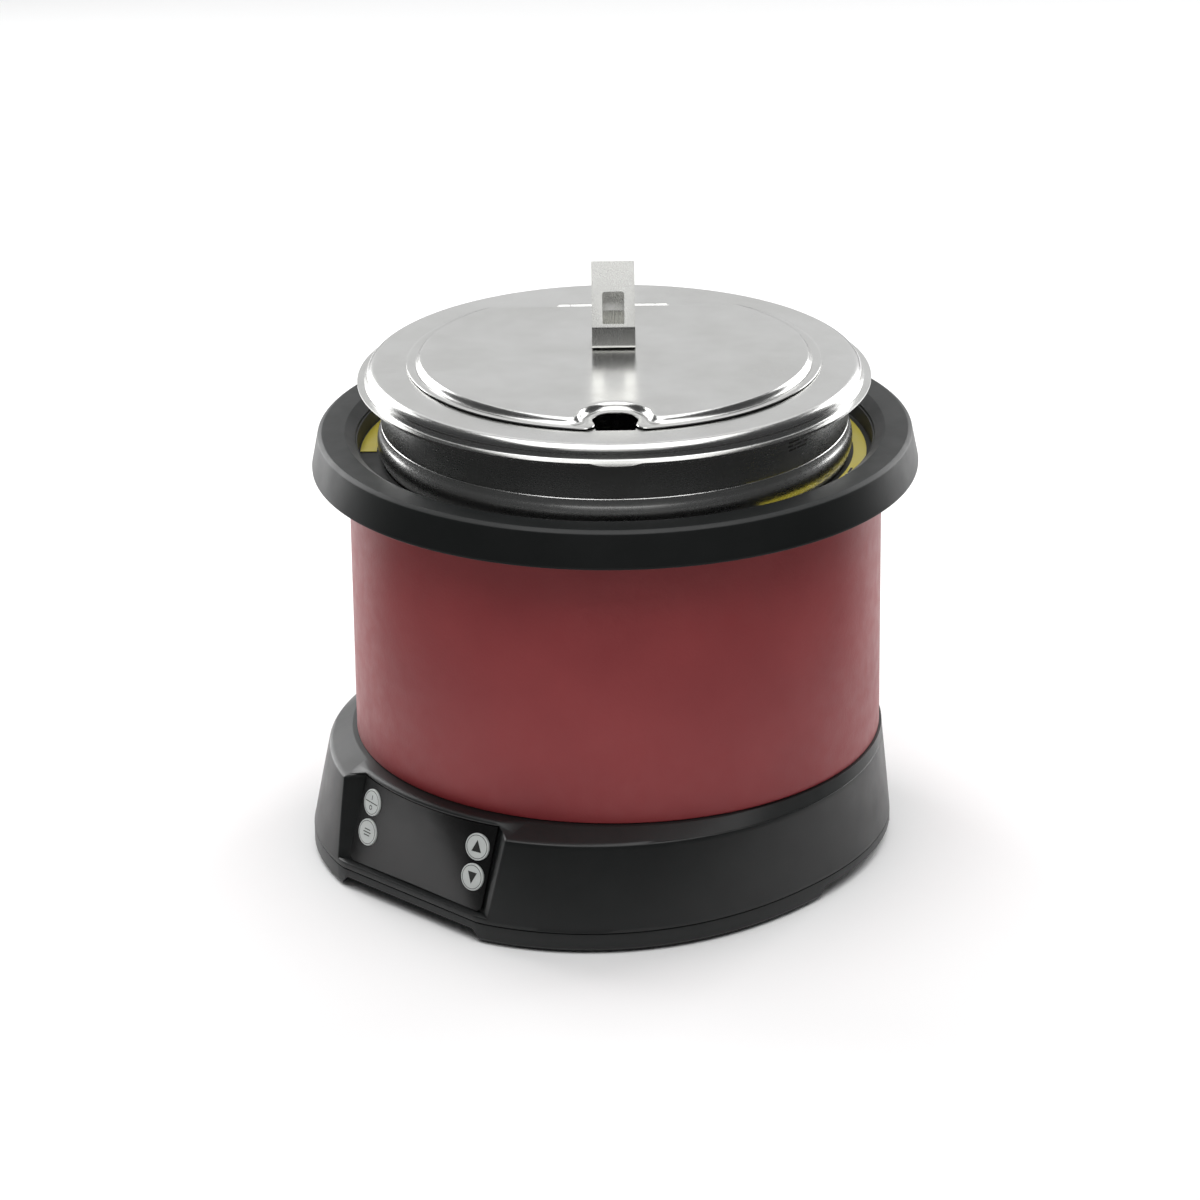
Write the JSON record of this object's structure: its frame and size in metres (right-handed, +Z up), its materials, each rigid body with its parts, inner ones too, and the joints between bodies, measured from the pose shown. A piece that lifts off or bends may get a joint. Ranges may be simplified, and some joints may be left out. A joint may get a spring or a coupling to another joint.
{
  "type": "soup kettle",
  "caption": "Countertop induction soup kettle with a red sleeve, black base and rim, control panel, lift-out steel pot and hinged lid with a ladle notch.",
  "frame": {"origin": "on the kettle's axis, at the surface it stands on", "axes": "+Z up, -Y out of the control panel"},
  "size_m": [0.345, 0.345, 0.337],
  "materials": {
    "black_plastic": "moulded black plastic, satin",
    "black_ring": "moulded black plastic, fine matt",
    "red_coat": "red powder coat with a fine leather-like grain",
    "well_plastic": "moulded black plastic, matt",
    "steel": "polished stainless steel",
    "label_yellow": "printed vinyl sticker, plain",
    "panel_film": "black polyester film over plastic",
    "button_grey": "light grey moulded plastic",
    "rubber": "black rubber",
    "zinc": "zinc-plated steel",
    "wool": "mineral wool felt",
    "copper": "wound copper litz ribbon",
    "ferrite": "sintered ferrite",
    "tray_plastic": "heat-resistant moulded plastic",
    "board_green": "solder-masked glass-fibre board",
    "aluminium": "extruded or spun aluminium",
    "capacitor_blue": "blue sleeved can",
    "display_glass": "dark tinted window of the digit display"
  },
  "bodies": {
    "base": {"base_housing": "black_plastic", "bottom_pan": "black_plastic", "rim_ring": "black_ring", "outer_shell": "red_coat", "inner_well": "well_plastic", "caution_label_left": "label_yellow", "caution_label_right": "label_yellow", "insulation_sleeve": "wool", "coil_tray": "tray_plastic", "induction_coil": "copper", "sensor_holder": "tray_plastic", "sensor_spring": "zinc", "power_board": "board_green", "control_board": "board_green", "display_module": "display_glass", "heat_sink": "aluminium", "bus_capacitor": "capacitor_blue", "line_filter": "tray_plastic", "fan_frame": "black_plastic", "panel_overlay": "panel_film", "cord_gland": "rubber", "rubber_foot_1": "rubber", "pan_screw_1": "zinc", "rubber_foot_2": "rubber", "pan_screw_2": "zinc", "rubber_foot_3": "rubber", "pan_screw_3": "zinc", "board_spacer_1": "tray_plastic", "board_spacer_2": "tray_plastic", "board_spacer_3": "tray_plastic", "board_spacer_4": "tray_plastic", "ferrite_bar_1": "ferrite", "ferrite_bar_2": "ferrite", "ferrite_bar_3": "ferrite", "ferrite_bar_4": "ferrite", "ferrite_bar_5": "ferrite", "ferrite_bar_6": "ferrite"},
    "power_button": {"button_power": "button_grey"},
    "function_button": {"button_function": "button_grey"},
    "up_button": {"button_up": "button_grey"},
    "down_button": {"button_down": "button_grey"},
    "sensor": {"sensor_cap": "aluminium"},
    "fan": {"fan_rotor": "black_plastic"},
    "pot": {"pot": "steel"},
    "lid": {"lid_ring": "steel", "hinge_leaf": "steel", "hinge_pin": "steel"},
    "door": {"lid_door": "steel", "lid_handle": "steel"}
  },
  "joints": [
    {"name": "power_press", "type": "slide", "parent": "base", "child": "power_button", "axis": [0.1789, 0.9534, -0.2429], "range_m": [0, 0.0006], "stiffness_N_per_m": 400, "springref_m": -0.0005},
    {"name": "function_press", "type": "slide", "parent": "base", "child": "function_button", "axis": [0.0948, 0.9647, -0.2458], "range_m": [0, 0.0006], "stiffness_N_per_m": 400, "springref_m": -0.0005},
    {"name": "up_press", "type": "slide", "parent": "base", "child": "up_button", "axis": [-0.1799, 0.9508, -0.2521], "range_m": [0, 0.0006], "stiffness_N_per_m": 400, "springref_m": -0.0005},
    {"name": "down_press", "type": "slide", "parent": "base", "child": "down_button", "axis": [-0.0918, 0.9625, -0.2552], "range_m": [0, 0.0006], "stiffness_N_per_m": 400, "springref_m": -0.0005},
    {"name": "pot_lift", "type": "slide", "parent": "base", "child": "pot", "axis": [0, 0, 1], "range_m": [0, 0.25]},
    {"name": "lid_lift", "type": "slide", "parent": "pot", "child": "lid", "axis": [0, 0, 1], "range_m": [0, 0.12]},
    {"name": "door_swing", "type": "hinge", "parent": "lid", "child": "door", "pos_m": [-0.06027, 0.06274, 0.288], "axis": [-0.7212, -0.6928, 0], "range_deg": [0, 108]},
    {"name": "sensor_press", "type": "slide", "parent": "base", "child": "sensor", "axis": [0, 0, 1], "range_m": [-0.002, 0], "stiffness_N_per_m": 600, "springref_m": 0.001, "deforming": ["sensor_spring"]},
    {"name": "fan_spin", "type": "hinge", "parent": "base", "child": "fan", "pos_m": [0.062, 0.028, 0.02], "axis": [0, 0, 1], "continuous": true}
  ]
}
